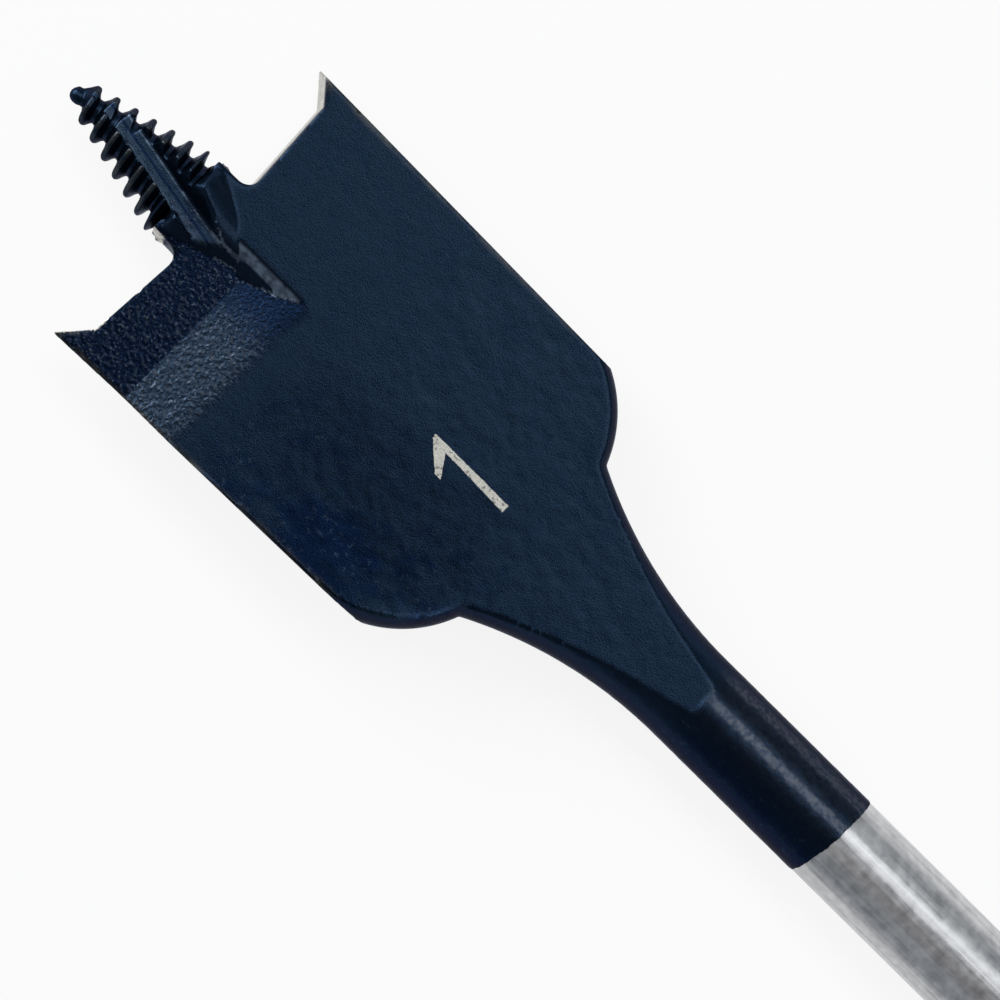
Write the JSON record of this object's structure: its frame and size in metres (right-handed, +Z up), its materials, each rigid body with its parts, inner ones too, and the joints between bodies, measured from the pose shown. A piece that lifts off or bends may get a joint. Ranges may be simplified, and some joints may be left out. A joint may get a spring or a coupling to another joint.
{
  "type": "spade drill bit",
  "caption": "Flat spade drill bit with a fluted lead screw, scooped cutting lips with spurs, rounded shoulders and a round shank ending in a hexagon drive.",
  "frame": {"origin": "middle of the bit's box, on the surface it lies on", "axes": "+X along the axis from the lead screw to the shank end, +Y across the blade, +Z up; the bit lies rolled onto one spur"},
  "size_m": [0.1524, 0.0248, 0.0069],
  "materials": {
    "coated_steel": "satin dark blue-black coating on the screw, blade and neck",
    "bare_steel": "bright drawn steel on the shank behind the coating"
  },
  "bodies": {
    "root": {"spade_bit": "coated_steel"}
  },
  "joints": []
}
